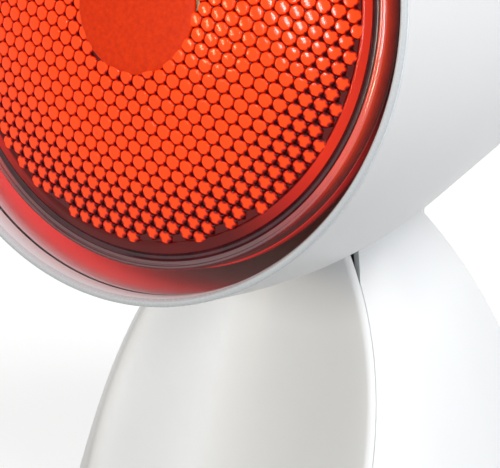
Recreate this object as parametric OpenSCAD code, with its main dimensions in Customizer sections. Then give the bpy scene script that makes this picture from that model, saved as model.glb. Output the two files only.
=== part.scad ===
// Small infrared heat lamp: a bell-shaped shade holds a pressed-glass bulb and
// tilts in steps on a domed stand with a hollowed leaf-shaped front.
// +Z is up and the beam leaves towards -Y. The origin lies on the table, on
// the axis of the domed stand. Every head piece is drawn in the head frame:
// z runs backwards from the rim plane, y points down, x is shared.

/* [Shade] */
// Outer diameter of the rolled rim
rim_d = 137; // [135:0.5:142]
// Thickness of the bead rolled along the rim
rim_bead_d = 1.8; // [1.6:0.1:2.6]
// Wall thickness of the shade and of the rear cover
shade_wall = 2; // [1.6:0.1:2.4]
// Radius of the long curve behind the rim
bell_curve_r = 215; // [205:1:225]
// Angle between the straight taper and the lamp's axis
bell_taper = 18; // [17.5:0.1:18.5]
// Free length between the lampholder and the rear end of the head
rear_room = 11.6; // [10:0.1:13]
// Distance from the rim plane to the seam between shade and rear cover
seam_l = 118; // [117:0.5:119]
// Number of vent slots in the rear cover
vent_count = 15; // [9:1:18]
// Width of a vent slot
vent_w = 2.6; // [2:0.1:3.2]

/* [Head position] */
// Height of the pivot above the table
pivot_z = 78.7; // [77:0.1:80]
// Distance of the pivot behind the stand's axis
pivot_y = 24.76; // [24:0.02:25.6]
// Upward tilt of the beam in the lowest detent
rest_tilt = 10; // [8:1:12]
// Angle between two detents
tilt_step = 10; // [8:1:10]
// Number of steps above the lowest detent
tilt_steps = 4; // [3:1:4]

/* [Bulb] */
// Gap between the rim's outer edge and the bulb's glass flange
bulb_gap = 8; // [7:0.25:9.5]
// Height of the whole flange along the axis
flange_h = 9.4; // [8:0.2:11]
// Distance from the rim plane back to the flange's front face
flange_l = 4.6; // [4:0.2:6]
// Width of the flat flange ring outside the groove
flange_ring = 3.4; // [3:0.1:4.5]
// Rise of the lens in front of the flange's front face
lens_rise = 10.8; // [8:0.2:12]
// Thickness of the glass
glass = 2.6; // [2:0.1:3.2]
// Distance from the rim plane to the end of the glass neck
neck_end_l = 100; // [98:0.5:101]
// Diameter of the glass neck
bulb_neck_d = 40; // [36:0.5:41]
// Diameter of the bulb's screw cap
cap_thread_d = 26.3; // [26:0.1:26.5]

/* [Pivot] */
// Distance of the pivot behind the rim plane
pivot_l = 100; // [99:0.5:101]
// Gap between the axle's clip and the shade's wall
pivot_gap = 0.45; // [0.3:0.05:1]
// Diameter of the pivot axle
axle_d = 6; // [5:0.1:6.4]
// Radial running clearance of the axle in its bushes
axle_fit = 0.05; // [0.02:0.01:0.1]
// Radius of the two knuckle ears
knuckle_r = 8; // [7.5:0.1:8.4]
// Width of the neck across its two ears
neck_w = 20.6; // [19:0.2:22]
// Thickness of one ear
ear_t = 4.5; // [4:0.1:5]
// Thickness of a washer between ear and bracket
washer_t = 0.5; // [0.4:0.05:0.8]
// Radius of the detent wheel
detent_r = 7; // [6.5:0.1:7.2]
// Thickness of the bracket's steel sheet
sheet = 1.5; // [1.2:0.1:2]

/* [Stand] */
// Radius of the dome where it meets the table
base_r = 58.4; // [57.5:0.1:60]
// Inward slope of the dome at its foot, millimetres per millimetre of height
dome_taper = 0.275; // [0.26:0.005:0.29]
// Extra inward curl of the dome at a height of 50
dome_curl = 5.36; // [5:0.02:5.6]
// Wall thickness of the stand
stand_wall = 2; // [1.6:0.1:2.4]
// Distance of the leaf-shaped face in front of the axis at table height
leaf_y = 42; // [41:0.2:43]
// Backward lean of the leaf-shaped face, millimetres per millimetre of height
leaf_lean = 0.372; // [0.36:0.002:0.38]
// Depth of the hollow in the face as a share of its half width
dish_ratio = 0.28; // [0.2:0.01:0.34]
// Height of the face's raised lip in front of the seam
leaf_lip = 1.3; // [0.8:0.1:1.8]
// Gap between the stand's saddle and the shade
saddle_gap = 0.5; // [0.4:0.05:1]
// Height of the shell's lower edge above the table
skirt_z = 1.2; // [0.8:0.1:2]

/* [Base and switch] */
// Thickness of the base plate
plate_t = 2; // [1.6:0.1:3]
// Recess of the base plate above the shell's lower edge
plate_recess = 0.6; // [0.4:0.1:1.5]
// Radius of a rubber foot
foot_r = 6; // [5:0.1:6.5]
// Radius of the steel ballast plate
ballast_r = 28; // [24:0.5:29]
// Thickness of the ballast plate
ballast_t = 4; // [3:0.5:6]
// Height of the rocker switch's centre above the table
switch_z = 31; // [30:0.5:34]
// Width of the rocker
rocker_w = 10.4; // [9:0.1:11]
// Length of the rocker
rocker_len = 16.4; // [15:0.1:17]
// Angle of the rocker to either side of its middle
rocker_tilt = 8; // [6:0.5:9]
// Height of the cord gland's centre above the table
gland_z = 12; // [11.5:0.5:13]
// Radius of the cord gland's bore
gland_bore_r = 3.3; // [2.5:0.1:3.5]

/* [Hidden] */
$fn = 96;

white = [0.95, 0.95, 0.95];
steel = [0.72, 0.73, 0.75];
brass = [0.80, 0.65, 0.32];
ceramic = [0.90, 0.88, 0.82];
red_glass = [0.85, 0.16, 0.05];
black = [0.10, 0.10, 0.11];

eps = 0.01;
seat = 0.05;        // gap between faces that are pushed together
play = 0.3;         // gap around a piece that is dropped into a hole
far = 200;          // longer than anything that is cut

// ---- outline of the head: long curve, straight taper, round end ----
rim_r = rim_d / 2;
bead_r = rim_bead_d / 2;
bell_r0 = rim_r - bead_r / 2;
curve_c = bell_r0 - bell_curve_r;
taper_k = curve_c * cos(bell_taper) + bell_curve_r;
holder_mouth_h = 17;                           // wide front part of the lampholder
holder_rear_h = 20;                            // narrow rear part
holder_mouth_l = neck_end_l + 1;
holder_step_l = holder_mouth_l + holder_mouth_h;
holder_end_l = holder_step_l + holder_rear_h;
head_l = holder_end_l + rear_room;
cap_r = (taper_k - head_l * sin(bell_taper)) / (1 - sin(bell_taper));
cap_l = head_l - cap_r;

function head_r(l, inset = 0) =
    l < (bell_curve_r - inset) * sin(bell_taper) ?
        curve_c + sqrt(pow(bell_curve_r - inset, 2) - l * l) :
    l < cap_l + (cap_r - inset) * sin(bell_taper) ?
        (taper_k - inset - l * sin(bell_taper)) / cos(bell_taper) :
        sqrt(max(0, pow(cap_r - inset, 2) - pow(l - cap_l, 2)));

taper_l = bell_curve_r * sin(bell_taper);       // where the straight taper begins
cap_from_l = cap_l + cap_r * sin(bell_taper);   // where the round end begins

module head_frame()
    translate([0, -rim_reach, rim_centre_z]) rotate([-(90 + rest_tilt), 0, 0]) children();

// Half of the head's outline in the plane of its axis, from l0 to l1
module head_outline(inset, l0, l1) intersection() {
    union() {
        intersection() {
            translate([curve_c, 0]) circle(r = bell_curve_r - inset, $fn = 720);
            translate([0, -rim_bead_d]) square([rim_d, rim_bead_d + taper_l - inset * sin(bell_taper)]);
        }
        polygon([[0, taper_l - inset * sin(bell_taper)],
            [head_r(taper_l - inset * sin(bell_taper), inset), taper_l - inset * sin(bell_taper)],
            [(cap_r - inset) * cos(bell_taper), cap_from_l - inset * sin(bell_taper)],
            [0, cap_from_l - inset * sin(bell_taper)]]);
        intersection() {
            translate([0, cap_l]) circle(r = cap_r - inset, $fn = 180);
            translate([0, cap_from_l - inset * sin(bell_taper)]) square(rim_d);
        }
    }
    translate([0, l0]) square([rim_d, l1 - l0]);
}

module head_solid(inset) rotate_extrude() head_outline(inset, -rim_bead_d / 2, far);

// ---- pivot ----
axle_r = axle_d / 2;
bush_wall = 1.4;
bush_r = axle_r + axle_fit + bush_wall;
ear_in = neck_w / 2 - ear_t;
cheek_in = neck_w / 2 + washer_t + 2 * seat;
cheek_out = cheek_in + sheet;
cheek_r = 5;                                   // sheet left around the axle
clip_r = axle_r + 2;
clip_t = 0.7;
clip_in = cheek_out + 0.25;
pivot_drop = sqrt(pow(head_r(pivot_l, shade_wall), 2) - pow(clip_in + clip_t, 2))
    - clip_r - pivot_gap;
rim_reach = pivot_l * cos(rest_tilt) - pivot_drop * sin(rest_tilt) - pivot_y;
rim_centre_z = pivot_z + pivot_l * sin(rest_tilt) + pivot_drop * cos(rest_tilt);
slot_gap = 0.8;                                // air beside the neck in the shade
strap_y = pivot_drop - knuckle_r - 0.7;        // underside of the bracket's strap
wing_l = pivot_l + 1;                          // bracket screws behind the rim
wing_inset = 7.9;                              // bracket screws inside the shade's wall
wing_x = sqrt(pow(head_r(wing_l, shade_wall), 2) - pow(strap_y, 2)) - wing_inset;
wing_w = 12;
post_r = 3.6;
small_r = 1.4;                                 // screw shank
head_small_r = 2.9;
head_small_h = 1.9;
slot_front_l = pivot_l - knuckle_r * cos(rest_tilt) - slot_gap
    + (head_r(pivot_l) - pivot_drop) * tan(rest_tilt) * 0.8;

module at_pivot() translate([0, pivot_y, pivot_z]) children();
module tilted(a) at_pivot() rotate([-a, 0, 0]) at_pivot_back() children();
module at_pivot_back() translate([0, -pivot_y, -pivot_z]) children();

// A cylinder along x, centred on the middle plane unless from is given
module bar_x(r, len, from) translate([is_undef(from) ? -len / 2 : from, 0, 0])
    rotate([0, 90, 0]) cylinder(r = r, h = len);

module pan_screw(len) {
    cylinder(r = small_r, h = len, $fn = 32);
    translate([0, 0, -head_small_h]) difference() {
        cylinder(r1 = head_small_r - 0.5, r2 = head_small_r, h = head_small_h, $fn = 40);
        for (a = [0, 90]) rotate([0, 0, a]) cube([3.2, 0.7, 1.6], center = true);
    }
}

// ---- shade ----
cover_screw_r = head_r(seam_l, shade_wall) - 3;
cover_angles = [-90, 30, 150];
cover_boss_r = 3.8;
cover_floor = 3;
cover_lip = 3;
cover_lip_t = 1.5;

module shade_shell() rotate_extrude() {
    difference() {
        head_outline(0, 0, seam_l - seat);
        head_outline(shade_wall, -1, seam_l);
    }
    translate([rim_r - bead_r, 0]) circle(r = bead_r, $fn = 48);
}

module shade() color(white) head_frame() difference() {
    union() {
        shade_shell();
        intersection() {
            head_solid(shade_wall / 2);
            union() {
                for (s = [-1, 1]) translate([s * wing_x, strap_y + seat, wing_l])
                    rotate([-90, 0, 0]) cylinder(r = post_r, h = far / 4);
                for (a = cover_angles) rotate([0, 0, a]) {
                    translate([cover_screw_r, 0, seam_l - cover_lip - 10])
                        cylinder(r = cover_boss_r, h = 10 + cover_lip - seat);
                    translate([cover_screw_r, -1, seam_l - cover_lip - 10])
                        cube([12, 2, 10]);
                }
            }
        }
    }
    for (s = [-1, 1]) translate([s * wing_x, strap_y, wing_l])
        rotate([-90, 0, 0]) cylinder(r = small_r + seat, h = 8.6, $fn = 32);
    for (a = cover_angles) rotate([0, 0, a])
        translate([cover_screw_r, 0, seam_l - 11]) cylinder(r = small_r + seat, h = 12, $fn = 32);
    translate([-neck_w / 2 - slot_gap, strap_y, slot_front_l])
        cube([neck_w + 2 * slot_gap, far, seam_l]);
    for (a = cover_angles) rotate([0, 0, a])
        translate([cover_screw_r, 0, seam_l - seat]) cylinder(r = 8, h = 5);
}

// ---- rear cover ----
well_r = head_small_r + 0.5;
vent_in_r = 12;
vent_out_r = cap_r - 14;

module rear_cover() color(white) head_frame() difference() {
    union() {
        rotate_extrude() difference() {
            head_outline(0, seam_l, far);
            head_outline(shade_wall, seam_l - 1, far);
        }
        cover_lip_arcs();
        intersection() {
            translate([0, 0, cap_l]) sphere(r = cap_r - shade_wall / 2);
            for (a = cover_angles) rotate([0, 0, a]) translate([cover_screw_r, 0, seam_l + play])
                cylinder(r = well_r + 1.4, h = cap_r / 2);
        }
    }
    for (a = cover_angles) rotate([0, 0, a]) translate([cover_screw_r, 0, seam_l - eps]) {
        cylinder(r = small_r + 0.2, h = cover_floor + 1, $fn = 32);
        translate([0, 0, cover_floor]) cylinder(r = well_r, h = 60);
    }
    translate([0, 0, cap_l]) linear_extrude(far) vent_pattern();
}

// The lip reaches into the shade between the three bosses and beside the neck's slot
boss_turn = asin((cover_boss_r + 1) / cover_screw_r);
slot_turn = asin((neck_w / 2 + 2) / cover_screw_r);

module cover_lip_arcs() for (t = [[-90 + boss_turn, 30 - boss_turn], [30 + boss_turn, 90 - slot_turn],
        [90 + slot_turn, 150 - boss_turn], [150 + boss_turn, 270 - boss_turn]])
    rotate([0, 0, t[0]]) rotate_extrude(angle = t[1] - t[0]) polygon([
        [head_r(seam_l - cover_lip, shade_wall + 0.15), seam_l - cover_lip],
        [head_r(seam_l, shade_wall + 0.15), seam_l],
        [head_r(seam_l + 1, shade_wall - 0.2), seam_l + 1],
        [head_r(seam_l + 1, shade_wall + cover_lip_t), seam_l + 1],
        [head_r(seam_l - cover_lip, shade_wall + cover_lip_t), seam_l - cover_lip]]);

module vent_pattern() for (i = [0:vent_count - 1])
    rotate((i + 0.5) * 360 / vent_count - 90) {
        translate([vent_in_r, -vent_w / 2]) square([vent_out_r - vent_in_r, vent_w]);
        for (r = [vent_in_r, vent_out_r]) translate([r, 0]) circle(r = vent_w / 2, $fn = 32);
    }

module cover_screws() color(steel) head_frame()
    for (a = cover_angles) rotate([0, 0, a])
        translate([cover_screw_r, 0, seam_l + cover_floor + seat]) mirror([0, 0, 1]) pan_screw(12);

// ---- bracket that carries the lampholder and hangs on the axle ----
holder_bore_r = cap_thread_d / 2 + 1.05;
holder_rear_r = holder_bore_r + 0.95;
holder_screw_x = holder_rear_r + head_small_r + play;
holder_mouth_r = holder_screw_x + small_r + 1.6;
bracket_front_l = pivot_l - 7;

module lamp_bracket() color(steel) head_frame() difference() {
    union() {
        translate([-cheek_out, strap_y - sheet, bracket_front_l])
            cube([2 * cheek_out, sheet, holder_step_l + sheet + seat - bracket_front_l]);
        translate([-wing_x - wing_w / 2 + 1, strap_y - sheet, wing_l - wing_w / 2])
            cube([2 * wing_x + wing_w - 2, sheet, wing_w]);
        for (s = [0, 1]) mirror([s, 0, 0]) {
            translate([cheek_in, strap_y - sheet, bracket_front_l])
                cube([sheet, pivot_drop - strap_y + sheet, 14]);
            translate([0, pivot_drop, pivot_l]) bar_x(cheek_r, sheet, cheek_in);
        }
        translate([0, 0, holder_step_l + seat])
            cylinder(r = holder_mouth_r + 1.5, h = sheet);
        translate([-cheek_out, 0, holder_step_l + seat]) cube([2 * cheek_out, strap_y, sheet]);
    }
    translate([0, 0, holder_step_l - 1]) cylinder(r = holder_rear_r + 0.2, h = 5);
    for (s = [-1, 1]) {
        translate([s * holder_screw_x, 0, holder_step_l - 1])
            cylinder(r = small_r + 0.15, h = 5, $fn = 32);
        translate([s * wing_x, strap_y - 3, wing_l])
            rotate([-90, 0, 0]) cylinder(r = small_r + 0.15, h = 5, $fn = 32);
    }
    translate([0, pivot_drop, pivot_l]) bar_x(axle_r + 0.02, 4 * cheek_out);
}

module bracket_screws() color(steel) head_frame()
    for (s = [-1, 1]) translate([s * wing_x, strap_y - sheet - seat, wing_l])
        rotate([-90, 0, 0]) pan_screw(9);

// ---- lampholder ----
holder_floor = 4;
holder_bevel = 2;

module lampholder() color(ceramic) head_frame() difference() {
    union() {
        translate([0, 0, holder_mouth_l]) cylinder(r = holder_mouth_r, h = holder_mouth_h);
        translate([0, 0, holder_step_l - eps])
            cylinder(r = holder_rear_r, h = holder_rear_h - holder_bevel);
        translate([0, 0, holder_end_l - holder_bevel - eps])
            cylinder(r1 = holder_rear_r, r2 = holder_rear_r - holder_bevel, h = holder_bevel);
    }
    translate([0, 0, holder_mouth_l - 1])
        cylinder(r = holder_bore_r, h = holder_end_l - holder_floor - holder_mouth_l + 1);
    for (s = [-1, 1]) {
        translate([s * holder_screw_x, 0, holder_step_l - 9])
            cylinder(r = small_r + seat, h = 10, $fn = 32);
        translate([0, s * 7, holder_end_l - holder_floor - 1]) cylinder(r = 1.6, h = 8, $fn = 32);
    }
}

shell_inset = 3;
shell_h = 25;

module holder_shell() color(brass) head_frame()
    translate([0, 0, holder_mouth_l + shell_inset]) difference() {
        cylinder(r = holder_bore_r - seat, h = shell_h);
        translate([0, 0, -1]) cylinder(r = cap_thread_d / 2 + 0.25, h = shell_h + 2);
    }

bulb_contact_l = neck_end_l + 28.4;

module holder_contact() color(brass) head_frame() {
    translate([-3, -9, holder_end_l - holder_floor - 0.5 - seat]) cube([6, 18, 0.5]);
    translate([0, 0, bulb_contact_l + seat])
        cylinder(r = 3, h = holder_end_l - holder_floor - 0.5 - bulb_contact_l - seat);
}

module holder_screws() color(steel) head_frame()
    for (s = [-1, 1]) translate([s * holder_screw_x, 0, holder_step_l + sheet + 2 * seat])
        mirror([0, 0, 1]) pan_screw(9);

// ---- bulb ----
bulb_r = rim_r - bulb_gap;
groove_r = bulb_r - flange_ring;
flange_mid_l = flange_l + flange_h / 2;
lens_r = (pow(groove_r, 2) + pow(lens_rise, 2)) / (2 * lens_rise);
bulb_neck_r = bulb_neck_d / 2;
reflector_v = neck_end_l - 5.5;        // apex of the paraboloid behind the rim plane

function lens_arc(r, n) = let (a1 = asin(groove_r / lens_r))
    [for (i = [0:n]) let (a = a1 * i / n)
        [r * sin(a), flange_l - lens_rise + lens_r - r * cos(a)]];
function reflector_r(l, inset) =
    max(bulb_neck_r - inset,
        (bulb_r - 0.5) * sqrt(max(0, (reflector_v - l)
            / (reflector_v - flange_l - flange_h))) - inset);

module bulb_lens() color(red_glass) head_frame() rotate_extrude() difference() {
    union() {
        polygon(concat(lens_arc(lens_r, 16), [[groove_r, flange_mid_l - seat], [0, flange_mid_l]]));
        translate([groove_r - 4, flange_l]) square([flange_ring + 3, flange_mid_l - flange_l - seat]);
        translate([bulb_r - 1, flange_l + 1]) circle(r = 1, $fn = 32);
        translate([bulb_r - 2, flange_l + 1]) square([2, flange_mid_l - flange_l - 1 - seat]);
    }
    translate([groove_r - 0.2, flange_l - 0.2]) circle(r = 1, $fn = 32);
    polygon(concat(lens_arc(lens_r - glass, 16), [[groove_r - 3, flange_mid_l + 1],
        [0, flange_mid_l + 1]]));
}

module bulb_reflector() color([0.78, 0.78, 0.80, 1]) head_frame() rotate_extrude()
    polygon(concat(
        [[groove_r - 3, flange_mid_l], [bulb_r, flange_mid_l],
            [bulb_r, flange_l + flange_h - 1], [bulb_r - 1, flange_l + flange_h]],
        [for (i = [0:16]) let (l = flange_l + flange_h + (neck_end_l - flange_l - flange_h) * i / 16)
            [reflector_r(l, 0), l]],
        [[cap_thread_d / 2 - 1.6, neck_end_l], [cap_thread_d / 2 - 1.6, neck_end_l - glass]],
        [for (i = [16:-1:1]) let (l = flange_l + flange_h
            + (neck_end_l - glass - flange_l - flange_h) * i / 16) [reflector_r(l, glass), l]],
        [[groove_r - 3, flange_l + flange_h]]));

thread_pitch = 3.6;
cap_h = 23;

module bulb_cap() color(steel) head_frame() translate([0, 0, neck_end_l + seat]) rotate_extrude()
    difference() {
        union() {
            square([cap_thread_d / 2 - 0.8, cap_h]);
            for (i = [0:4]) translate([cap_thread_d / 2 - 0.9, 4.5 + i * thread_pitch])
                circle(r = 0.9, $fn = 32);
        }
        translate([0, -1]) square([cap_thread_d / 2 - 1.3, cap_h + 2]);
    }

module bulb_insulator() color(black) head_frame() translate([0, 0, neck_end_l + cap_h + 2 * seat])
    difference() {
        cylinder(r1 = cap_thread_d / 2 - 0.8, r2 = 5.5, h = 4.2);
        translate([0, 0, 3]) cylinder(r = 4.2, h = 2);
    }

module bulb_contact() color(brass) head_frame() translate([0, 0, neck_end_l + cap_h + 3 + 3 * seat])
    cylinder(r = 4.1, h = bulb_contact_l - neck_end_l - cap_h - 3 - 3 * seat);

filament_l = 68;
module filament_mount() color(steel) head_frame() {
    translate([0, 0, neck_end_l - 14]) cylinder(r1 = 4, r2 = 9, h = 14 - seat);
    for (s = [-1, 1]) translate([s * 3, 0, 0])
        translate([0, 0, filament_l + 0.6]) cylinder(r = 0.6, h = neck_end_l - 13 - filament_l, $fn = 24);
    translate([0, 0, neck_end_l - 0.5]) cylinder(r = cap_thread_d / 2 - 1.7, h = 1.5);
}

module filament() color([0.45, 0.42, 0.4]) head_frame() translate([0, 9, filament_l])
    rotate([0, 0, -71]) rotate_extrude(angle = 322) translate([9.5, 0]) circle(r = 0.55, $fn = 24);

// ---- axle and detents ----
axle_head_t = 1.5;
axle_end = cheek_out + 2.6;
wheel_w = 6;
notch_r = 0.9;
nose_r = 0.65;
notch_depth = 0.7;

module pivot_axle() color(steel) at_pivot() difference() {
    union() {
        bar_x(axle_r, cheek_out + axle_end + seat, -cheek_out - seat);
        bar_x(axle_r + 1.6, axle_head_t, -cheek_out - seat - axle_head_t);
    }
    difference() {
        bar_x(axle_r + 1, 0.9, cheek_out + 0.15);
        bar_x(axle_r - 0.6, 0.9, cheek_out + 0.15);
    }
}

module axle_clip() color(steel) at_pivot() difference() {
    bar_x(clip_r, clip_t, clip_in);
    bar_x(axle_r - 0.55, 2, cheek_out);
    translate([cheek_out, -1.6, 0]) cube([2, 3.2, 2 * axle_r]);
}

module detent_wheel() color(steel) at_pivot() difference() {
    bar_x(detent_r, wheel_w);
    bar_x(axle_r + 0.01, wheel_w + 2);
    for (i = [0:tilt_steps]) rotate([i * tilt_step, 0, 0])
        translate([0, 0, -detent_r - notch_r + notch_depth]) bar_x(notch_r, wheel_w + 2);
}

fork_floor = knuckle_r + 1.5;          // depth of the fork below the pivot
leaf_w = 5;
leaf_t = 0.4;
nose_z = -detent_r - notch_r + notch_depth - 0.1;

module detent_spring() color(steel) at_pivot() {
    rotate([90, 0, 90]) translate([0, 0, -leaf_w / 2]) linear_extrude(leaf_w) polygon([
        [-7.4, -fork_floor + seat], [-5, -fork_floor + seat], [-1, nose_z - leaf_t],
        [1, nose_z - leaf_t], [5, -fork_floor + seat], [7.4, -fork_floor + seat],
        [7.4, -fork_floor + seat + leaf_t], [5, -fork_floor + seat + leaf_t],
        [1, nose_z], [-1, nose_z], [-5, -fork_floor + seat + leaf_t],
        [-7.4, -fork_floor + seat + leaf_t]]);
    translate([0, 0, nose_z]) bar_x(nose_r, leaf_w);
}

module pivot_bushes() color([0.85, 0.83, 0.75]) at_pivot() for (s = [0, 1]) mirror([s, 0, 0])
    difference() {
        bar_x(bush_r, ear_t, ear_in);
        bar_x(axle_r + axle_fit, ear_t + 2, ear_in - 1);
    }

module thrust_washers() color([0.85, 0.83, 0.75]) at_pivot() for (s = [0, 1]) mirror([s, 0, 0])
    difference() {
        bar_x(knuckle_r - 0.6, washer_t, neck_w / 2 + seat);
        bar_x(axle_r + axle_fit, washer_t + 2, neck_w / 2 - 1);
    }

// ---- outline of the stand ----
dome_top_z = 78;
function dome_r(z) = base_r - dome_taper * z - dome_curl * pow(z / 50, 3);
function dome_rate(z) = dome_taper + 3 * dome_curl / 50 * pow(z / 50, 2);
function dome_in(z, inset) = dome_r(z) - inset * sqrt(1 + pow(dome_rate(z), 2));
function leaf_at(z) = -leaf_y + leaf_lean * z;
function leaf_half(z, ahead, inset) =
    sqrt(max(4, pow(dome_in(z, inset), 2) - pow(leaf_at(z) - ahead, 2)));

module dome_solid(inset, z0, z1) rotate_extrude() polygon(concat([[0, z0]],
    [for (i = [0:20]) let (z = z0 + (z1 - z0) * i / 20) [dome_in(z, inset), z]], [[0, z1]]));

module head_sweep(gap) for (i = [0:tilt_steps]) tilted(i * tilt_step) head_frame() head_solid(-gap);

// Everything in front of the leaf-shaped opening's plane
module before_leaf() translate([0, -leaf_y, 0]) rotate([-atan(leaf_lean), 0, 0])
    translate([-far / 2, -far, -far / 2]) cube([far, far, 2 * far]);

// Room for the hollow face where it passes under the saddle
relief_w = 52;
relief_floor_w = 20;
relief_depth = 8;
module leaf_relief() translate([0, -leaf_y, 0]) rotate([-atan(leaf_lean), 0, 0])
    linear_extrude(far) polygon([[-relief_w / 2, -1], [-relief_w / 2, 0], [-relief_floor_w / 2, relief_depth],
        [relief_floor_w / 2, relief_depth], [relief_w / 2, 0], [relief_w / 2, -1]]);

// ---- hollowed face of the stand ----
front_wall = 2;
front_cols = 8;
front_rows = 18;

function dish_y(x, z) = let (h = leaf_half(z, leaf_lip, 0)) leaf_at(z) - leaf_lip
    + dish_ratio * h * pow(max(0, 1 - pow(x / h, 2)), 1.5);
function back_half(z) = leaf_half(z, 0, stand_wall) - 0.5;
function front_section(z) = let (b = back_half(z), h = leaf_half(z, leaf_lip, 0), o = leaf_half(z, 0, 0))
    concat(
        [[-o, leaf_at(z), z], [-h, leaf_at(z) - leaf_lip, z]],
        [for (i = [-front_cols:front_cols]) let (x = b * i / front_cols) [x, dish_y(x, z), z]],
        [[h, leaf_at(z) - leaf_lip, z], [o, leaf_at(z) - seat / 2, z], [b, leaf_at(z) - seat, z]],
        [for (i = [front_cols - 1:-1:1 - front_cols]) let (x = b * i / front_cols)
            [x, dish_y(x, z) + front_wall, z]],
        [[-b, leaf_at(z) - seat, z]]);

function ring_faces(n, rows) = concat(
    [[for (i = [0:n - 1]) i]],
    [for (r = [0:rows - 1], i = [0:n - 1]) let (j = (i + 1) % n)
        [r * n + i, (r + 1) * n + i, (r + 1) * n + j]],
    [for (r = [0:rows - 1], i = [0:n - 1]) let (j = (i + 1) % n)
        [r * n + i, (r + 1) * n + j, r * n + j]],
    [[for (i = [n - 1:-1:0]) rows * n + i]]);

module front_loft() let (n = len(front_section(skirt_z))) polyhedron(
    points = [for (r = [0:front_rows])
        for (p = front_section(skirt_z + (dome_top_z - 2 - skirt_z) * r / front_rows)) p],
    faces = ring_faces(n, front_rows), convexity = 6);

module stand_front() color(white) difference() {
    front_loft();
    head_frame() head_solid(-saddle_gap);
}

// ---- stand shell ----
neck_root_z = 50;
saddle_wall = 0.8 * stand_wall;
base_screw_pts = [[35, 29.5], [-35, 29.5], [43, -16], [-43, -16]];
plate_z = skirt_z + plate_recess;
plate_top = plate_z + plate_t;
base_post_r = 4;
gland_r = gland_bore_r + 1.4;
gland_flange_r = gland_r + 1.8;
gland_seat_y = dome_r(gland_z) - 1.6;
switch_lean = atan(dome_rate(switch_z));
switch_seat = 0.9;                     // depth of the switch's flat below the dome
switch_in_w = rocker_w + 0.6;
switch_in_len = rocker_len + 1.6;
switch_out_w = switch_in_w + 2;
switch_out_len = switch_in_len + 2.4;
switch_flange = 1.6;

module switch_frame() translate([0, dome_r(switch_z), switch_z])
    rotate([-(90 - switch_lean), 0, 0]) children();

module centred_box(w, len, z0, z1) translate([-w / 2, -len / 2, z0]) cube([w, len, z1 - z0]);

module neck() {
    at_pivot() bar_x(knuckle_r, neck_w);
    translate([-neck_w / 2, pivot_y - knuckle_r, neck_root_z])
        cube([neck_w, 2 * knuckle_r, pivot_z - neck_root_z]);
}

module stand_outer() union() {
    difference() {
        dome_solid(0, skirt_z, dome_top_z);
        head_sweep(saddle_gap);
    }
    neck();
}

module stand_hollow() difference() {
    dome_solid(stand_wall, skirt_z - 1, dome_top_z);
    head_sweep(saddle_gap + saddle_wall);
    neck();
    for (p = base_screw_pts) translate([p[0], p[1], plate_top + seat])
        cylinder(r = base_post_r, h = 60);
    switch_frame() centred_box(switch_out_w + 7, switch_out_len + 7, -3.6, 20);
    translate([0, gland_seat_y - 5, gland_z]) rotate([-90, 0, 0])
        cylinder(r = gland_flange_r + 1.5, h = 20);
}

module stand_shell() color(white) difference() {
    stand_outer();
    stand_hollow();
    before_leaf();
    leaf_relief();
    at_pivot() {
        bar_x(bush_r + 0.01, neck_w + 2);
        translate([-ear_in, -knuckle_r - 1, -fork_floor])
            cube([2 * ear_in, 2 * knuckle_r + 2, 4 * knuckle_r]);
    }
    translate([-ear_in, pivot_y - knuckle_r + 2, neck_root_z - 1])
        cube([2 * ear_in, 2 * knuckle_r - 4, far]);
    for (p = base_screw_pts) translate([p[0], p[1], 0])
        cylinder(r = small_r + seat, h = plate_top + 9, $fn = 32);
    switch_frame() {
        centred_box(switch_out_w + 3 + 2 * play, switch_out_len + 3 + 2 * play, -switch_seat, 5);
        centred_box(switch_out_w + play, switch_out_len + play, -20, 5);
    }
    translate([0, gland_seat_y, gland_z]) rotate([-90, 0, 0])
        cylinder(r = gland_flange_r + play, h = 10);
    translate([0, gland_seat_y - 10, gland_z]) rotate([-90, 0, 0])
        cylinder(r = gland_r + 0.1, h = 12);
}

// ---- base ----
foot_pts = [[27, 38], [-27, 38], [38, -29], [-38, -29]];
foot_h = plate_z + 0.8;
ballast_y = 4;
ballast_screw_x = 20;
edge_gap = 0.4;

module plate_outline(z) difference() {
    circle(r = dome_in(z, stand_wall) - edge_gap);
    polygon(concat(
        [for (i = [-front_cols:front_cols]) let (x = back_half(z) * i / front_cols)
            [x, max(leaf_at(z), abs(i) == front_cols ? leaf_at(z) : dish_y(x, z) + front_wall) + edge_gap]],
        [[far, leaf_at(z) + edge_gap], [far, -far], [-far, -far], [-far, leaf_at(z) + edge_gap]]));
}

module base_plate() color(white) difference() {
    translate([0, 0, plate_z]) linear_extrude(plate_t) plate_outline(plate_top);
    for (p = base_screw_pts) translate([p[0], p[1], 0]) {
        cylinder(r = small_r + 0.2, h = 20, $fn = 32);
        translate([0, 0, plate_z - 1]) cylinder(r = head_small_r + play, h = 2, $fn = 40);
    }
    for (p = foot_pts) translate([p[0], p[1], 0]) cylinder(r = foot_r + seat, h = foot_h + seat);
    for (s = [-1, 1]) translate([s * ballast_screw_x, ballast_y, 0])
        cylinder(r = small_r + 0.2, h = 20, $fn = 32);
    for (i = [-3:3]) translate([i * 7 - 1.25, -14, 0]) cube([2.5, 8, 20]);
}

module base_screws() color(steel) for (p = base_screw_pts)
    translate([p[0], p[1], plate_z + 1 - seat]) pan_screw(8);

module rubber_feet() color(black) for (p = foot_pts) translate([p[0], p[1], 0])
    rotate_extrude() polygon([[0, 0], [foot_r - 0.6, 0], [foot_r, 0.6], [foot_r, foot_h], [0, foot_h]]);

ballast_z = plate_top + seat;
module ballast_plate() color(steel) difference() {
    translate([0, ballast_y, ballast_z]) cylinder(r = ballast_r, h = ballast_t);
    for (s = [-1, 1]) translate([s * ballast_screw_x, ballast_y, 0])
        cylinder(r = small_r + seat, h = 20, $fn = 32);
}

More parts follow.
